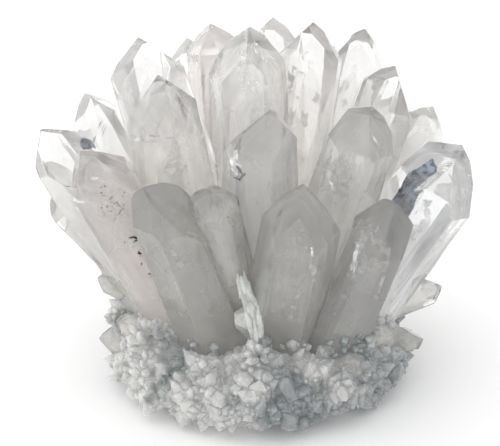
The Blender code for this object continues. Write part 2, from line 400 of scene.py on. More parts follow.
def quartz_material():
    """Rock crystal, grown and unpolished: glassy faces, wisps of milk, and growth lines across them.

    Milk adds tint and roughness, and takes away 0.28 of the clearness where it is thickest.
    """
    material, tree, shader = new_material("rock_crystal")
    place = add_node(tree, "ShaderNodeTexCoord").outputs["Object"]
    milk = add_node(tree, "ShaderNodeAttribute", attribute_name="milk").outputs["Fac"]
    # The tone of the milk, greyed on the front points as painted shade.
    tone = add_node(tree, "ShaderNodeAttribute", attribute_name="tone").outputs["Vector"]
    own = add_node(tree, "ShaderNodeAttribute", attribute_name="own_place").outputs["Vector"]

    wisps = patchwork(tree, place, 17, 0.35, 0.7, (-0.2, 0.2), 2.5)
    cloud = add_node(tree, "ShaderNodeMath", {0: milk, 1: wisps}, operation="ADD", use_clamp=True)
    cloud = cloud.outputs["Value"]
    clear = add_node(
        tree, "ShaderNodeMapRange", {"Value": cloud, "To Min": 1.0, "To Max": 0.72}
    ).outputs["Result"]
    frost = add_node(
        tree, "ShaderNodeMapRange", {"Value": cloud, "To Min": 0.01, "To Max": 0.12}
    ).outputs["Result"]
    tinted = add_node(tree, "ShaderNodeMath", {0: cloud, 1: TINT_SHARE}, operation="MULTIPLY")
    tinted = tinted.outputs["Value"]
    colour = add_node(
        tree, "ShaderNodeMix", {0: tinted, 6: linear("#fdfdfd"), 7: tone}, data_type="RGBA"
    ).outputs[2]

    # Growth lines run across the prism faces. Many are too fine to see, so these are drawn a little
    # under a millimetre apart, and about a centimetre long.
    stretched = add_node(
        tree, "ShaderNodeMapping", {"Vector": own, "Scale": (1 / 14, 1 / 14, 1.0)}
    ).outputs["Vector"]
    lines = add_node(
        tree, "ShaderNodeTexNoise", {"Vector": stretched, "Scale": 1 / (0.9 * MM), "Detail": 2.0}
    ).outputs["Fac"]
    bump = add_node(tree, "ShaderNodeBump", {"Height": lines, "Strength": 0.12, "Distance": 0.1 * MM})

    finish = {
        "Base Color": colour,
        "Transmission Weight": clear,
        "Roughness": frost,
        "Normal": bump.outputs["Normal"],
        "IOR": QUARTZ_INDEX,
        "Subsurface Weight": 0.7,
        "Subsurface Radius": MILK_REACH,
        "Subsurface Scale": 1.5 * MM,
    }
    fill(tree, shader, finish)
    return material


rock_crystal = quartz_material()
print("material", rock_crystal.name, "with", len(rock_crystal.node_tree.nodes), "nodes")

# %% [markdown]
# ## How milky each crystal is
# Crystals of one cluster don't clear at the same rate: the outer ones had room and grew slowly and clear,
# and those in the middle trapped bubbles. Each has a share of milk at its tip, and all turn milky towards
# the root. The front ones are painted a little grey, as shade.

# %% Milk and painted shade in each crystal
# Node, then its share of milk at the tip and the colour of that milk. The greys, darkest on the front
# points, are painted shade; the pink and near-white tints are the quartz's own colour.
HABITS = {
    "point_far_left": (0.14, "#fbfbfa"),
    "point_left_tall": (0.34, "#fdfcfb"),
    "point_left_front": (0.36, "#e6e0dd"),
    "point_left_broad": (0.2, "#fdfaf6"),
    "point_back_left_outer": (0.25, "#fbfaf8"),
    "point_back_left": (0.2, "#fbfaf8"),
    "point_crown_left": (0.45, "#fdf9f7"),
    "point_back_centre": (0.3, "#fdfbf9"),
    "point_back_right": (0.3, "#fbfaf8"),
    "point_back_right_outer": (0.55, "#efeeeb"),
    "point_crown": (0.5, "#f3f2f0"),
    "point_crown_right": (0.22, "#fdfaf7"),
    "point_right_shoulder": (0.18, "#ecebe8"),
    "point_centre": (0.3, "#dddbd8"),
    "point_right_inner": (0.2, "#e3e1dd"),
    "point_far_right": (0.12, "#fafbfc"),
    "point_front_centre": (0.42, "#bfbeba"),
    "point_front_right": (0.32, "#b7b6b3"),
    "point_front_left": (0.38, "#c4c3be"),
    "point_front_left_inner": (0.38, "#d6d4d0"),
}
HABIT_ELSEWHERE = (0.3, "#eeece8")
MILK_AT_ROOT = 0.85
# Crystals whose tips are painted darker, as shade: the share of the length, how dark it is there, and
# whether only one half of the crystal is, which paints one side of it in shade. The darkening fades out over
# the share of the length set after this table.
PAINTED_SHADE_TIPS = {
    "point_front_right": (0.2, 0.6, True),
    "point_front_left": (0.15, 0.82, False),
    "point_left_broad": (0.2, 0.82, False),
    "point_centre": (0.17, 0.85, False),
    "point_right_inner": (0.16, 0.85, False),
}
PAINTED_SHADE_EDGE = 0.02


def milk_share(crystal, depths):
    """Share of milk: from the tip's to the root's, with depth / length to the power 2."""
    at_tip = HABITS.get(crystal.node, HABIT_ELSEWHERE)[0]
    rise = np.clip(depths / crystal.length, 0, 1) ** 2
    return at_tip + (MILK_AT_ROOT - at_tip) * rise


def milk_tone(crystal, places):
    """The crystal's colour of milk, its painted shade included, at places in its own frame, and darker where
    a tip is painted in shade.
    """
    tone = np.array(linear(HABITS.get(crystal.node, HABIT_ELSEWHERE)[1])[:3])
    share, darkness, half = PAINTED_SHADE_TIPS.get(crystal.node, (0, 1, False))
    unshaded = np.clip((-places[:, 2] / crystal.length - share) / PAINTED_SHADE_EDGE + 0.5, 0, 1)
    if half:
        unshaded = np.maximum(unshaded, np.clip(places[:, 0] / MM + 0.5, 0, 1))
    return tone * (darkness + (1 - darkness) * unshaded)[:, None]


def own_places(crystal, points):
    """Each point in the crystal's own frame: side, back and axis, measured from the apex."""
    return (points - crystal.apex) @ np.stack([crystal.side, crystal.back, crystal.axis], axis=1)


# The smoky ones of this count are tips painted darker as shade.
print(len(HABITS), "crystals with milk of their own,", len(PAINTED_SHADE_TIPS), "of them smoky")

# %% [markdown]
# ## The skins
# Each skin carries three values on its points: its share of milk, the tone of that milk, and the
# point's place in the crystal's own frame, so that growth lines follow the crystal however it leans.

# %% The skins
# Columns, then rows on the tip and on the body.
POINT_GRID = (132, 22, 44)
SPUR_GRID = (72, 12, 24)


def build_crystal(crystal, seed):
    """The skin, with its milk, its tone and its own frame on each point.

    A skin takes the tone squared, because light crosses it on the way in and on the way out, so the painted
    shade in the tone is deeper on the skin too.
    """
    rng = np.random.default_rng(seed)
    size = SPUR_GRID if crystal.node.startswith("spur") else POINT_GRID
    points, depths = crystal_grid(crystal, size, rng)
    root = crystal.apex + crystal.length * crystal.spine
    everything = np.concatenate([[crystal.apex], points.reshape(-1, 3), [root]])
    depth = np.concatenate([[0.0], depths.ravel(), [crystal.length]])
    places = own_places(crystal, everything)
    piece = new_piece(
        "quartz_" + crystal.node,
        everything,
        closed_tube(len(points), points.shape[1]),
        rock_crystal,
        attributes={
            "milk": milk_share(crystal, depth),
            "tone": milk_tone(crystal, places) ** 2,
            "own_place": places,
        },
    )
    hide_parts(crystal.node)
    return piece


# One spur is wedged between two big points, and so few of its faces are its own that it keeps its solid.
WEDGED = "spur_gap_left"
quartz = [
    build_crystal(crystals[node], seed) for seed, node in enumerate(crystal_nodes) if node != WEDGED
]
print(len(quartz), "crystals with", sum(len(q.data.polygons) for q in quartz), "faces")

# %% [markdown]
# ## Milk inside the crystals
# Milky quartz isn't white on its skin: the cloud is inside, thick at the root and thin at the tip,
# and its outline is a rounded copy of the crystal, because it marks where the faces once stood. So
# two rounded shells stand inside each skin, and how much they cover grows with depth.


# %% Milk clouds
# The milk glows a little: a painted glow that stands for light which has wandered through milk many times
# and comes out of it evenly.
PAINTED_MILK_GLOW = 0.3


def milk_material():
    """A cloud of bubbles in quartz: soft streaks 5 mm wide and three times as long.

    It covers milk x streaks, and the thin streaks are darker than the thick ones. It glows faintly in its
    own colour, a painted glow for scattered light.
    """
    material, tree, shader = new_material("milk_in_quartz")
    own = add_node(tree, "ShaderNodeAttribute", attribute_name="own_place").outputs["Vector"]
    place = add_node(
        tree, "ShaderNodeMapping", {"Vector": own, "Scale": (1.0, 1.0, 0.3)}
    ).outputs["Vector"]
    milk = add_node(tree, "ShaderNodeAttribute", attribute_name="milk").outputs["Fac"]
    # The tone of the milk, greyed on the front points as painted shade.
    tone = add_node(tree, "ShaderNodeAttribute", attribute_name="tone").outputs["Vector"]
    streaks = patchwork(tree, place, 5, 0.32, 0.68, (0.3, 1.3), 4.0, 0.6)
    cover = add_node(tree, "ShaderNodeMath", {0: milk, 1: streaks}, operation="MULTIPLY", use_clamp=True)
    depth_of_shade = add_node(
        tree,
        "ShaderNodeMapRange",
        {"Value": streaks, "From Min": 0.3, "From Max": 1.3, "To Min": 0.66, "To Max": 1.05},
    ).outputs["Result"]
    shade = add_node(
        tree, "ShaderNodeVectorMath", {0: tone, "Scale": depth_of_shade}, operation="SCALE"
    ).outputs[0]
    # The emission is a painted glow in the cloud's own colour.
    finish = {
        "Alpha": cover.outputs["Value"],
        "Base Color": shade,
        "Emission Color": shade,
        "Emission Strength": PAINTED_MILK_GLOW,
        "Roughness": 0.9,
        "Specular IOR Level": 0.0,
    }
    fill(tree, shader, finish)
    return material


# Share of the skin's radius and of its length that each cloud fills, how much it covers, and how
# steep its swells are.
CLOUDS = [(0.82, 0.93, 0.75, 0.005), (0.48, 0.84, 0.9, 0.015)]
CLOUD_ROUNDING = 0.6 * MM
CLOUD_GRID = (40, 8, 14)
CLOUD_LIFT = 0.3 * MM


def build_clouds(names, title, seed):
    """Two shells in each crystal, as one mesh: each is its skin, shrunk towards the spine and the root."""
    rng = np.random.default_rng(seed)
    columns, tip_rows, body_rows = CLOUD_GRID
    rows = tip_rows + body_rows
    tube = closed_tube(rows, columns)
    points_each = rows * columns + 2
    points, milk, tones, places, faces = [], [], [], [], []
    for node in names:
        crystal = crystals[node]
        root = crystal.apex + crystal.length * crystal.spine
        for wide, tall, cover, steepness in CLOUDS:
            grid, depths = crystal_grid(crystal, CLOUD_GRID, rng, CLOUD_ROUNDING, steepness)
            spine = crystal.apex + depths[..., None] * crystal.spine
            shrunk = root + (spine - root) * tall + (grid - spine) * wide
            top = root + (crystal.apex - root) * tall
            low = CLOUD_LIFT * crystal.axis
            start = len(points) * points_each
            shell = np.concatenate([[top], shrunk.reshape(-1, 3) + low, [root + low]])
            points.append(shell)
            # A random shift gives each shell streaks of its own.
            places.append(own_places(crystal, shell) + rng.uniform(0, 0.1, 3))
            deep = np.concatenate([[0.0], depths.ravel(), [crystal.length]])
            milk.append(milk_share(crystal, deep) * cover)
            tones.append(milk_tone(crystal, own_places(crystal, shell)))
            faces += [[start + corner for corner in face] for face in tube]
    piece = new_piece(
        title,
        np.concatenate(points),
        faces,
        milk_in_quartz,
        attributes={
            "milk": np.concatenate(milk),
            "tone": np.concatenate(tones),
            "own_place": np.concatenate(places),
        },
    )
    return piece


milk_in_quartz = milk_material()
clouds = build_clouds([c for c in crystal_nodes if c != WEDGED], "milk_clouds", 5)
print("milk clouds with", len(clouds.data.polygons), "faces")

# %% [markdown]
# ## Veils, cracks and specks
# What catches the light inside a crystal is mostly healed cracks: ragged films a few millimetres wide, white
# where they hold bubbles, and where they are still open painted bluish grey as the silver reflection of
# their film of air. Specks on the skin are iron oxide. All of them are thin, so each is a flat lens with a
# ragged outline, placed by its turn round the crystal, its depth from the tip and how far out it lies.


# %% Ragged lenses
RIM = 16
RING_SHARE = 0.55
RING_HEIGHT = 0.7
RAGGEDNESS = 0.16
DARK_RAGGEDNESS = 0.07


def lens_points(centres, along, across, sizes, thickness, rng, raggedness=RAGGEDNESS):
    """Corners of ragged lenses, shape (lenses, 50, 3): two domes that share a rim of 16.

    The outline is 1 + raggedness x a sum of five sines of the turn. Each dome has one ring, at 0.55
    of the way out and 0.7 of the height, which is 1 - share squared.
    """
    count = len(centres)
    turns = np.arange(RIM) * 2 * np.pi / RIM
    waves = np.arange(2, 7)
    phases = rng.uniform(0, 2 * np.pi, (count, 5))
    ragged = 1 + raggedness * np.sin(turns[None, :, None] * waves + phases[:, None]).sum(-1)
    u = ragged * np.cos(turns) / 2
    v = ragged * np.sin(turns) / 2
    rim = u[..., None] * along[:, None] * sizes[:, None, :1]
    rim = rim + v[..., None] * across[:, None] * sizes[:, None, 1:]
    normal = np.cross(along, across)[:, None] * thickness / 2
    middle = centres[:, None]
    top = middle + normal
    upper = middle + RING_SHARE * rim + RING_HEIGHT * normal
    lower = middle + RING_SHARE * rim - RING_HEIGHT * normal
    return np.concatenate([top, upper, middle + rim, lower, middle - normal], axis=1)


def lens_faces(count):
    """Faces of every lens, dome by dome, all turned outwards."""
    ring = np.arange(RIM)
    ahead = np.roll(ring, -1)
    last = 3 * RIM + 1
    cap = np.stack([np.zeros(RIM, int), ring + 1, ahead + 1], axis=1)
    base = np.stack([np.full(RIM, last), ahead + 2 * RIM + 1, ring + 2 * RIM + 1], axis=1)
    upper = np.stack([ring + 1, ring + RIM + 1, ahead + RIM + 1, ahead + 1], axis=1)
    lower = upper + RIM
    starts = np.arange(count)[:, None, None] * (last + 1)
    triangles = (starts + np.concatenate([cap, base])).reshape(-1, 3)
    quads = (starts + np.concatenate([upper, lower])).reshape(-1, 4)
    return triangles.tolist() + quads.tolist()


def spots_in(crystal, turns, shares, out):
    """Points at these turns (degrees) and shares of the length, out by a share of the radius."""
    turns = np.radians(turns)
    depths = np.asarray(shares) * crystal.length
    radius = soft_radius(crystal, turns, depths, EDGE_ROUNDING) * out
    return crystal.apex + depths[:, None] * crystal.spine + radius[:, None] * crystal.outward(turns)


def lens_frames(crystal, facing, slant):
    """Long and cross directions of lenses that face a turn, slanted from the crystal's axis."""
    facing, slant = np.radians(facing), np.radians(slant)
    tangent = np.cross(crystal.outward(facing), crystal.axis)
    along = np.cos(slant)[:, None] * crystal.axis + np.sin(slant)[:, None] * tangent
    across = np.cos(slant)[:, None] * tangent - np.sin(slant)[:, None] * crystal.axis
    return along, across


# %% [markdown]
# ## Where the films lie
# The ones that show most are placed one by one, and each large point has a few more at random. The small
# bright ones, painted glints, mostly crowd near two tips, and the specks of iron oxide lie on one face.

# %% Where the films lie
# Every table of films has a node, then rows of: turn, share of the length, share of the radius,
# turn that it faces, slant, and its length and width in mm. Turns and slants are in degrees.
WHITE_VEILS = {
    "point_front_left": [
        (104, 0.36, 0.9, 104, 4, 17, 1.5),
        (96, 0.58, 0.94, 100, -3, 16, 1.3),
        (160, 0.45, 0.97, 150, 3, 22, 1.6),
    ],
    "point_front_centre": [(118, 0.3, 0.9, 110, 10, 12, 1.4), (100, 0.55, 0.96, 100, -6, 16, 1.2)],
    "point_centre": [(18, 0.23, 0.95, 60, 4, 8, 2.2), (60, 0.16, 0.9, 80, 70, 5, 1.2)],
    "point_crown_right": [
        (55, 0.2, 0.9, 60, 10, 5, 2.0),
        (70, 0.17, 0.85, 60, 60, 4, 1.4),
        (50, 0.25, 0.9, 70, -20, 4, 1.6),
    ],
    "point_left_broad": [(60, 0.2, 0.75, 90, 85, 9, 1.6), (96, 0.32, 0.75, 90, 3, 13, 6)],
    "point_right_inner": [
        (70, 0.3, 0.75, 80, 6, 14, 4),
        (30, 0.25, 0.9, 70, 10, 12, 2.4),
        (140, 0.13, 0.9, 110, 40, 4, 1.0),
    ],
    "point_front_right": [
        (58, 0.3, 0.88, 70, 6, 14, 2.4),
        (66, 0.46, 0.9, 80, -5, 16, 1.8),
        (120, 0.5, 0.9, 110, 2, 18, 1.4),
    ],
    "point_far_right": [(120, 0.14, 0.85, 100, 60, 7, 1.0), (150, 0.2, 0.85, 120, 20, 7, 0.9)],
}
DARK_FILMS = {
    "point_far_right": [(42, 0.2, 0.8, 75, -8, 14, 5.5), (46, 0.3, 0.78, 75, 4, 11, 5.5)],
    "point_far_left": [(176, 0.15, 0.8, 130, 25, 4.5, 2.6)],
    "point_centre": [
        (44, 0.2, 0.97, 75, 35, 3.2, 0.8),
        (48, 0.225, 0.97, 80, -40, 2.8, 0.7),
        (42, 0.24, 0.97, 75, 75, 2.4, 0.7),
    ],
    "point_left_broad": [(76, 0.17, 0.98, 85, 80, 3.0, 0.3)],
}
# Small films at chips, painted as white glints.
CHIPS = {
    "point_centre": [(30, 0.19, 0.94, 60, 4, 6, 3.0)],
    "point_front_right": [(56, 0.28, 0.94, 70, 12, 8, 1.4)],
    "point_right_inner": [(120, 0.1, 0.95, 110, 40, 3, 0.8), (60, 0.3, 0.95, 80, 30, 3, 0.8)],
    "point_left_front": [(60, 0.14, 0.95, 70, 70, 3.5, 1.2), (100, 0.1, 0.95, 100, 50, 2.5, 0.8)],
}
IRON_SPOTS = {
    "point_left_front": [
        (104, 0.362, 1, 104, 60, 2.2, 0.6),
        (107, 0.372, 1, 107, 15, 1.5, 0.6),
        (105, 0.384, 1, 105, 85, 1.2, 0.5),
        (101, 0.44, 1, 101, 20, 1.2, 0.7),
        (98, 0.55, 1, 98, 50, 1.0, 0.5),
    ],
}
# Sparkles are painted glints: small white films that glow a little.
# Node, then the middle turn and its spread, the middle share of the length, and how many.
SPARKLES = {"point_crown": (90, 35, 0.14, 26), "point_crown_right": (60, 25, 0.18, 14)}
# Iron specks: the middle turn and its spread, the middle share of the length and its spread, how many.
IRON_GROUPS = [(106, 9, 0.22, 0.034, 40), (100, 8, 0.45, 0.08, 10)]
THICKNESS = 0.12 * MM
SPARKLE_THICKNESS = 0.1 * MM
SPECK_THICKNESS = 0.25 * MM


def chosen_lenses(table, rng, raggedness=RAGGEDNESS):
    """Lens corners for every row of a table."""
    made = []
    for node, rows in table.items():
        turn, share, out, facing, slant, length, width = np.array(rows, float).T
        crystal = crystals[node]
        sizes = np.stack([length, width], axis=1) * MM
        centres = spots_in(crystal, turn, share, out)
        frames = lens_frames(crystal, facing, slant)
        made.append(lens_points(centres, *frames, sizes, THICKNESS, rng, raggedness))
    return made


def random_veils(rng, each=4):
    """Veils at random places in the inner third of every large point."""
    made = []
    for node in crystal_nodes:
        if node.startswith("spur"):
            continue
        crystal = crystals[node]
        centres = spots_in(
            crystal, rng.uniform(0, 360, each), rng.uniform(0.2, 0.6, each), rng.uniform(0, 0.35, each)
        )
        frames = lens_frames(crystal, rng.uniform(0, 360, each), rng.normal(0, 35, each))
        sizes = np.stack([rng.uniform(3, 8, each), rng.uniform(1.5, 4, each)], axis=1) * MM
        made.append(lens_points(centres, *frames, sizes, THICKNESS, rng))
    return made


def sparkles(rng):
    """Small bright films near the tips, each turned its own way: painted glints."""
    made = []
    for node, (turn, spread, share, count) in SPARKLES.items():
        crystal = crystals[node]
        centres = spots_in(
            crystal,
            rng.normal(turn, spread, count),
            np.clip(rng.normal(share, 0.05, count), 0.06, 0.4),
            rng.uniform(0.6, 0.93, count),
        )
        frames = lens_frames(crystal, rng.uniform(0, 360, count), rng.uniform(0, 180, count))
        sizes = np.stack([rng.uniform(0.8, 2.2, count), rng.uniform(0.5, 1.2, count)], axis=1) * MM
        made.append(lens_points(centres, *frames, sizes, SPARKLE_THICKNESS, rng))
    return made


def iron_specks(rng):
    """Specks on the skin of one front point: a loose group, a few stray, and those of the table."""
    crystal = crystals["point_left_front"]
    turn = np.concatenate([rng.normal(t, spread, n) for t, spread, _, _, n in IRON_GROUPS])
    share = np.concatenate([rng.normal(d, spread, n) for _, _, d, spread, n in IRON_GROUPS])
    centres = spots_in(crystal, turn, share, 1.0)
    frames = lens_frames(crystal, turn, rng.uniform(0, 180, len(turn)))
    length = rng.lognormal(-1.0, 0.4, len(turn))
    sizes = np.stack([length, length * rng.uniform(0.4, 0.9, len(turn))], axis=1) * MM
    scattered = lens_points(centres, *frames, sizes, SPECK_THICKNESS, rng)
    return [scattered] + chosen_lenses(IRON_SPOTS, rng)


# %% [markdown]
# ## What the films are made of
# A healed crack is full of bubbles, so it is white and soft. An open one holds a film of air, and it is
# painted bluish grey like dull silver, in place of the reflection that the film gives. The small bright
# films are painted glints: white, glowing a little, and turned every way. Iron oxide is matt and a dark rust
# brown. All are patchy, because none of them covers its crack evenly.


# %% Their finishes
def film_material(name, light, dark, cover, roughness, gloss, grain, glow=0.0):
    """A thin film: two shades in patches a grain (mm) wide, where the darker ones are also thinner."""
    material, tree, shader = new_material(name)
    place = add_node(tree, "ShaderNodeTexCoord").outputs["Object"]
    shares = patchwork(tree, place, grain, 0.38, 0.62, detail=2.0)
    colour = add_node(
        tree, "ShaderNodeMix", {0: shares, 6: linear(dark), 7: linear(light)}, data_type="RGBA"
    ).outputs[2]
    alpha = patchwork(tree, place, grain, 0.4, 0.6, cover, 2.0)
    finish = {
        "Base Color": colour,
        "Alpha": alpha,
        "Roughness": roughness,
        "Specular IOR Level": gloss,
        "Emission Color": colour,
        "Emission Strength": glow,
    }
    fill(tree, shader, finish)
    return material


healed_crack = film_material("healed_crack", "#ffffff", "#e4e2de", (0.08, 0.8), 0.5, 0.0, 3.2)
# The open crack's bluish grey is a painted reflection of its film of air.
open_crack = film_material("open_crack", "#a3adbb", "#4a515c", (0.65, 1.0), 0.3, 0.5, 1.8)
# Painted glints: white films that glow a little.
painted_glint_film = film_material("painted_glint_film", "#ffffff", "#f0f2f6", (0.4, 0.95), 0.3, 0.5, 1.5, 0.25)
iron_oxide = film_material("iron_oxide", "#4a2522", "#1c1819", (0.75, 1.0), 0.6, 0.0, 1.0)
print("films of", [m.name for m in (healed_crack, open_crack, painted_glint_film, iron_oxide)])


# %% The films
def build_lenses(name, lenses, material):
    """One piece of all these lenses, shaded flat, so that a thin rim doesn't draw a dark line."""
    lenses = np.concatenate(lenses)
    piece = new_piece(name, lenses, lens_faces(len(lenses)), material, smooth=False)
    return piece


film_rng = np.random.default_rng(31)
white_lenses = chosen_lenses(WHITE_VEILS, film_rng) + random_veils(film_rng)
films = [
    build_lenses("healed_cracks", white_lenses, healed_crack),
    build_lenses("painted_glint_films", sparkles(film_rng) + chosen_lenses(CHIPS, film_rng), painted_glint_film),
    build_lenses("open_cracks", chosen_lenses(DARK_FILMS, film_rng, DARK_RAGGEDNESS), open_crack),
    build_lenses("iron_specks", iron_specks(film_rng), iron_oxide),
]
print("films with", [len(film.data.polygons) for film in films], "faces")

# %% [markdown]
# ## Druse
# The crust between the points is covered with crystals a few millimetres long, so crowded that only their
# tips show. It is milkier than the points, and frosted, so light goes into it and comes out again a few
# millimetres away. A painted glow also keeps the gaps between the grains from going quite dark.

# %% Druse material
# Bluish grey grows towards the east: partly the crust's tint and partly painted shade on that side.
EAST_TINT_AND_SHADE = 2.5
BLUISH_GREY = "#878b8d"
# Grey-green spots at random stand for the shade in the crust's hollows: painted shade.
GREY_GREEN = "#7b827f"
# A painted glow, weaker than the milk's, for the light that the druse scatters.
PAINTED_DRUSE_GLOW = 0.7 * PAINTED_MILK_GLOW


def druse_material(name, clearness, light="#c6c6c4", dark="#b9b9b7"):
    """Milky druse: frosted translucent grains, with grey-green spots at random that paint the shade of the
    crust's hollows. Patches 14 mm wide are bluish grey, and there are more of them towards the east, along
    X, partly the crust's tint and partly painted shade on that side. The druse also glows a little in its
    own colour, a painted glow.

    Patches 14 mm wide are bluish grey, and there are more of them towards the east, along X.
    """
    material, tree, shader = new_material(name)
    place = add_node(tree, "ShaderNodeTexCoord").outputs["Object"]
    patches = add_node(
        tree,
        "ShaderNodeTexNoise",
        {"Vector": place, "Scale": 1 / (14 * MM), "Detail": 3.0, "Roughness": 0.55},
    ).outputs["Fac"]
    # More bluish grey towards the east, partly painted shade on that side.
    across = add_node(tree, "ShaderNodeSeparateXYZ", {"Vector": place}).outputs["X"]
    patches = add_node(
        tree,
        "ShaderNodeMath",
        {0: across, 1: EAST_TINT_AND_SHADE, 2: patches},
        operation="MULTIPLY_ADD",
    ).outputs["Value"]
    patches = add_node(
        tree, "ShaderNodeMapRange", {"Value": patches, "From Min": 0.4, "From Max": 0.66}
    ).outputs["Result"]
    # Grey-green spots 9 mm wide, painted shade of the crust's hollows.
    painted_hollow_shade = patchwork(tree, place, 9, 0.58, 0.68, detail=5.0)
    grains = patchwork(tree, place, 2.5, 0.35, 0.65)
    colour = linear(light)
    for share, tint in [(grains, dark), (patches, BLUISH_GREY), (painted_hollow_shade, GREY_GREEN)]:
        mixed = {0: share, 6: colour, 7: linear(tint)}
        colour = add_node(tree, "ShaderNodeMix", mixed, data_type="RGBA").outputs[2]
    clear = add_node(
        tree, "ShaderNodeMapRange", {"Value": grains, "To Min": clearness, "To Max": 0.0}
    ).outputs["Result"]
    rough = add_node(
        tree, "ShaderNodeMapRange", {"Value": grains, "To Min": 0.12, "To Max": 0.4}
    ).outputs["Result"]
    # Emission in the druse's own colour is a painted glow.
    finish = {
        "Base Color": colour,
        "Emission Color": colour,
        "Emission Strength": PAINTED_DRUSE_GLOW,
        "Transmission Weight": clear,
        "Roughness": rough,
        "IOR": QUARTZ_INDEX,
        "Subsurface Weight": 1.0,
        "Subsurface Radius": MILK_REACH,
        "Subsurface Scale": 3 * MM,
    }
    fill(tree, shader, finish)
    return material


milky_druse = druse_material("milky_druse", 0.4)
milky_crust = druse_material("milky_crust", 0.0)
splinter_quartz = druse_material("splinter_quartz", 0.3, "#d2d3d0", "#b0b2ad")
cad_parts["matrix"].material_slots[0].material = milky_crust
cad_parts[WEDGED].material_slots[0].material = splinter_quartz


# %% [markdown]
# ## Where the grains stand
# Grains cover the crust, climb the feet of the points and pile up in lumps between them. On the
# crust and at the feet, places are drawn at random, and those inside a crystal are dropped: they
# are the ones that lie behind all of its planes.


# %% Where the grains stand
# No grain grows where the crust's normal points down by more than this.
UNDERSIDE = -0.55
LOWEST_GRAIN = 0.8 * MM
CLEAR_OF_CRYSTALS = 0.8 * MM
# The crust's top, how far below it the grains at a foot begin, and how fast they thin out above it.
CRUST_TOP = 15 * MM
BELOW_CRUST_TOP = 6 * MM
CLIMB = 4.0 * MM
INSIDE_NEIGHBOUR = 0.3 * MM
ROOT_OUTWARD = 0.6
ROOT_UPWARD = (0.0, 0.0, 0.7)
# Lumps where the crust has grown up between the feet: middle and radius in mm, and grains on each.
MOUNDS = [
    ((-36, -2, 16), 5, 70),
    ((-34, 7, 18), 4.5, 50),
    ((0, -32, 20), 4.5, 50),
    ((-29, -18, 18), 5, 60),
]


def inside_crystals(points, margin):
    """Whether a point is more than a margin inside any crystal: behind all of its planes."""
    inside = np.zeros(len(points), bool)
    for crystal in crystals.values():
        depth = (crystal.apex - points) @ crystal.axis
        behind = (points @ crystal.normals.T < crystal.distances - margin).all(1)
        inside |= behind & (depth < crystal.length)
    return inside


def scatter_on_matrix(count, rng):
    """Points and normals on the matrix, spread evenly by area, off its underside and clear of crystals."""
    corners, normals, _, areas = mesh_arrays("matrix")
    index = read(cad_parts["matrix"].data.loops, "vertex_index", 1, int)
    triangles = corners[index.reshape(-1, 3)]
    weight = areas * (normals[:, 2] > UNDERSIDE)
    chosen = rng.choice(len(weight), count, p=weight / weight.sum())
    a, b = np.sort(rng.random((2, count)), axis=0)
    shares = np.stack([a, b - a, 1 - b], axis=1)
    points = (triangles[chosen] * shares[..., None]).sum(1)
    kept = ~inside_crystals(points, CLEAR_OF_CRYSTALS) & (points[:, 2] > LOWEST_GRAIN)
    return points[kept], normals[chosen][kept]


def scatter_round_roots(count, rng):
    """Points low on the crystals' skins, where the crust climbs their feet, and directions out and up.

    The share kept falls off with height above the crust as exp(-height / CLIMB), and ends at
    twice CLIMB. Three times as many are drawn as are kept, because many lie inside a neighbour.
    """
    places, normals = [], []
    for piece in quartz:
        if "spur" in piece.name:
            continue
        places.append(read(piece.data.vertices, "co", kind=np.float32))
        normals.append(read(piece.data.vertex_normals, "vector", kind=np.float32))
    places, normals = np.concatenate(places), np.concatenate(normals)
    height = places[:, 2] - CRUST_TOP
    weight = np.exp(-np.maximum(height, 0) / CLIMB) * (height > -BELOW_CRUST_TOP) * (height < 2 * CLIMB)
    chosen = rng.choice(len(weight), count * 3, replace=False, p=weight / weight.sum())
    chosen = chosen[~inside_crystals(places[chosen], INSIDE_NEIGHBOUR)][:count]
    return places[chosen], normals[chosen] * ROOT_OUTWARD + ROOT_UPWARD


def scatter_on_mounds(rng):
    """Points mostly on the upper side of each lump, at middle + radius x direction, and directions."""
    places, normals = [], []
    for middle, radius, count in MOUNDS:
        direction = rng.normal((0, 0, 0.8), 1, (count, 3))
        direction /= np.linalg.norm(direction, axis=1)[:, None]
        places.append((np.array(middle) + radius * direction) * MM)
        normals.append(direction)
    return np.concatenate(places), np.concatenate(normals)


# %% [markdown]
# ## One grain
# A grain is a six-sided stub with a pointed end. Its sides and its shoulder are uneven, because real
# ones are squeezed by their neighbours, and its foot is a little narrower than its shoulder.


# %% Grains
def druse_grains(points, directions, widths, lengths, rng):
    """Corners of six-sided stubs with pointed ends, shape (grains, 13, 3).

    Each stub has rings of six at -0.5 and at about 0.45 of its length, and an apex at 1.
    """
    count = len(points)
    turns = np.arange(6) * np.pi / 3 + rng.uniform(0, np.pi, count)[:, None]
    helper = np.where(abs(directions[:, 2:]) < 0.9, [[0.0, 0.0, 1.0]], [[1.0, 0.0, 0.0]])
    side = np.cross(directions, helper)
    side /= np.linalg.norm(side, axis=1)[:, None]
    back = np.cross(directions, side)
    ring = np.cos(turns)[..., None] * side[:, None] + np.sin(turns)[..., None] * back[:, None]
    uneven = rng.uniform(0.82, 1.18, (count, 6, 1))
    ring = ring * uneven * widths[:, None, None] / 2
    along = directions * lengths[:, None]
    foot = points[:, None] + ring * 0.9 - 0.5 * along[:, None]
    shoulder_share = 0.45 + rng.uniform(-0.15, 0.15, (count, 6, 1))
    shoulder = points[:, None] + ring + shoulder_share * along[:, None]
    apex = points + along + (ring[:, 0] + ring[:, 1]) * rng.uniform(-0.3, 0.3, (count, 1))
    return np.concatenate([foot, shoulder, apex[:, None]], axis=1)


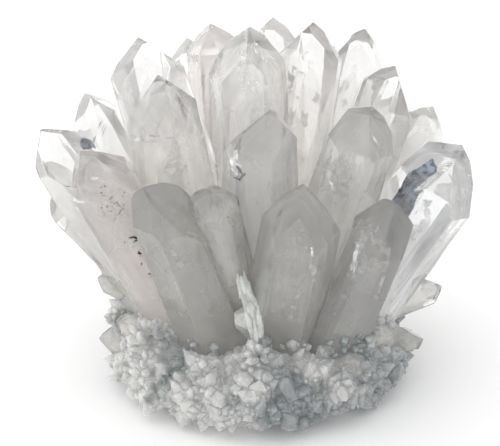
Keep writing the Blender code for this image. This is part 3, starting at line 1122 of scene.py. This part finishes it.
def grain_faces(count):
    """Faces of the stubs: six walls of each, then six tip faces of each, then their undersides."""
    lower = np.arange(6)
    upper = lower + 6
    ahead = np.roll(lower, -1)
    walls = np.stack([lower, ahead, ahead + 6, upper], axis=1)
    tips = np.stack([upper, ahead + 6, np.full(6, 12)], axis=1)
    starts = np.arange(count)[:, None, None] * 13
    faces = (starts + walls).reshape(-1, 4).tolist()
    faces += (starts + tips).reshape(-1, 3).tolist()
    faces += (starts[:, 0] + lower[::-1]).tolist()
    return faces


# %% [markdown]
# ## Growing the druse
# The grains lean at random round the way out of the crust, and most are small and a few are large.
# They make six pieces, one for each sector, so that no mesh is too heavy to handle. Splinters, which
# are grains drawn long and thin, stand in one of the gaps.

# %% The druse
DRUSE_COUNT = 6000
ROOT_COUNT = 1400
DRUSE_SECTORS = 6
# Most grains have grown into their neighbours, so their edges are soft: they are shaded smooth.
MELTED_SHARE = 0.6
LEAN = 0.42
ROOT_GRAIN_SIZE = 0.75
ABOVE_FLOOR = 0.2 * MM


def build_druse():
    """Grains on the crust, at the feet and on the lumps, in one piece per sector.

    Widths are log-normal round 2.6 mm. Shading flags follow the order of the faces: six walls of
    each grain, six tip faces of each, and the undersides.
    """
    rng = np.random.default_rng(77)
    crust, crust_normals = scatter_on_matrix(DRUSE_COUNT, rng)
    roots, root_normals = scatter_round_roots(ROOT_COUNT, rng)
    lumps, lump_normals = scatter_on_mounds(rng)
    points = np.concatenate([crust, roots, lumps])
    normals = np.concatenate([crust_normals, root_normals, lump_normals])
    directions = normals + rng.normal(0, LEAN, normals.shape)
    directions /= np.linalg.norm(directions, axis=1)[:, None]
    widths = np.clip(rng.lognormal(0.95, 0.36, len(points)), 1.2, 4.6) * MM
    widths[len(crust) :] *= ROOT_GRAIN_SIZE
    lengths = widths * rng.uniform(0.6, 1.25, len(points))
    grains = druse_grains(points, directions, widths, lengths, rng)
    lift = np.maximum(ABOVE_FLOOR - grains[..., 2].min(1), 0)
    grains[..., 2] += lift[:, None]
    bearing = np.arctan2(points[:, 1], points[:, 0])
    sector = np.floor((bearing / (2 * np.pi) + 0.5) * DRUSE_SECTORS).astype(int) % DRUSE_SECTORS
    pieces = []
    for number in range(DRUSE_SECTORS):
        chosen = grains[sector == number]
        melted = rng.random(len(chosen)) < MELTED_SHARE
        smooth = np.concatenate([np.repeat(melted, 6), np.repeat(melted, 6), melted])
        piece = new_piece(
            f"druse_{number + 1}", chosen, grain_faces(len(chosen)), milky_druse, smooth
        )
        pieces.append(piece)
    return pieces, len(points)


# Splinters of milky quartz caught between two front points: feet in mm, how many stand at each, and
# the way that they lean.
SPLINTERS = [((-0.8, -30.5, 28.5), 5), ((-2.4, -28.6, 33.5), 6), ((-4.4, -27.6, 39.0), 5)]
SPLINTER_LEAN = (-0.3, 0.12, 0.95)


def build_splinters():
    """Long thin grains that stand side by side, so that they read as one broken blade."""
    rng = np.random.default_rng(12)
    feet = np.concatenate([np.tile(foot, (count, 1)) for foot, count in SPLINTERS]) * MM
    feet += rng.normal(0, 1, feet.shape) * (0.7 * MM, 0.4 * MM, 1.5 * MM)
    directions = rng.normal(SPLINTER_LEAN, 0.16, feet.shape)
    directions /= np.linalg.norm(directions, axis=1)[:, None]
    widths = rng.uniform(1.0, 2.2, len(feet)) * MM
    lengths = rng.uniform(4, 8, len(feet)) * MM
    grains = druse_grains(feet, directions, widths, lengths, rng)
    piece = new_piece("splinters", grains, grain_faces(len(grains)), splinter_quartz, smooth=False)
    return piece


splinters = build_splinters()
druse, grain_count = build_druse()
print(grain_count, "druse grains in", len(druse), "pieces")
print("splinters with", len(splinters.data.polygons), "faces")

# %% [markdown]
# ## The floor
# Clear crystal shows mostly what is behind it, and most of what lies behind this one is the sheet
# that it stands on. So the sheet is white and reaches far out.


# %% Floor
REACH = 6.0


def pale_floor():
    """A plain matt sheet of white card."""
    material, tree, shader = new_material("white_sheet")
    finish = {"Base Color": linear("#fbfbfb"), "Roughness": 0.9, "Specular IOR Level": 0.1}
    fill(tree, shader, finish)
    corners = [(-REACH, -REACH, 0), (REACH, -REACH, 0), (REACH, REACH, 0), (-REACH, REACH, 0)]
    mesh = bpy.data.meshes.new("floor")
    mesh.from_pydata(corners, [], [(0, 1, 2, 3)])
    mesh.materials.append(material)
    floor = bpy.data.objects.new("floor", mesh)
    bpy.context.scene.collection.objects.link(floor)
    return floor


print("floor", tuple(pale_floor().dimensions))

# %% [markdown]
# ## The light
# In an even white tent clear crystal vanishes. It needs a band that is a little darker at the sides,
# so that its edges draw themselves, and light that falls off from west to east, so that the two
# sides of a crystal differ.

# %% Sky
# Elevation as the sine of its angle, and the brightness there.
SKY = [(0.0, 1.22), (0.14, 1.22), (0.3, 1.1), (0.6, 1.1), (0.8, 1.3), (1.0, 1.4)]
SIDE_LIGHT = 0.3
GLASS_BOUNCES = 16
FILMS_IN_A_ROW = 24


def studio_sky():
    """Brightness by elevation: a darker band at 17 to 37 degrees, and a wide soft box above it.

    It is multiplied by 1 - SIDE_LIGHT x east, where east is the part of the direction along X.
    """
    world = bpy.data.worlds.new("studio")
    world.use_nodes = True
    tree = world.node_tree
    direction = add_node(tree, "ShaderNodeTexCoord").outputs["Generated"]
    parts = add_node(tree, "ShaderNodeSeparateXYZ", {"Vector": direction})
    height = parts.outputs["Z"]
    ramp = add_node(tree, "ShaderNodeValToRGB", {"Fac": height})
    brightest = max(value for _, value in SKY)
    while len(ramp.color_ramp.elements) < len(SKY):
        ramp.color_ramp.elements.new(0.5)
    for element, (place, value) in zip(ramp.color_ramp.elements, SKY):
        element.position = place
        element.color = (value / brightest,) * 3 + (1.0,)
    background = tree.nodes["Background"]
    side = add_node(
        tree,
        "ShaderNodeMath",
        {0: parts.outputs["X"], 1: -SIDE_LIGHT * brightest, 2: brightest},
        operation="MULTIPLY_ADD",
    ).outputs[0]
    fill(tree, background, {"Color": ramp.outputs["Color"], "Strength": side})
    bpy.context.scene.world = world


studio_sky()
bpy.context.scene.view_settings.view_transform = "Standard"
bpy.context.scene.cycles.max_bounces = GLASS_BOUNCES
bpy.context.scene.cycles.transmission_bounces = GLASS_BOUNCES
bpy.context.scene.cycles.transparent_max_bounces = FILMS_IN_A_ROW
print("sky with", len(SKY), "steps")
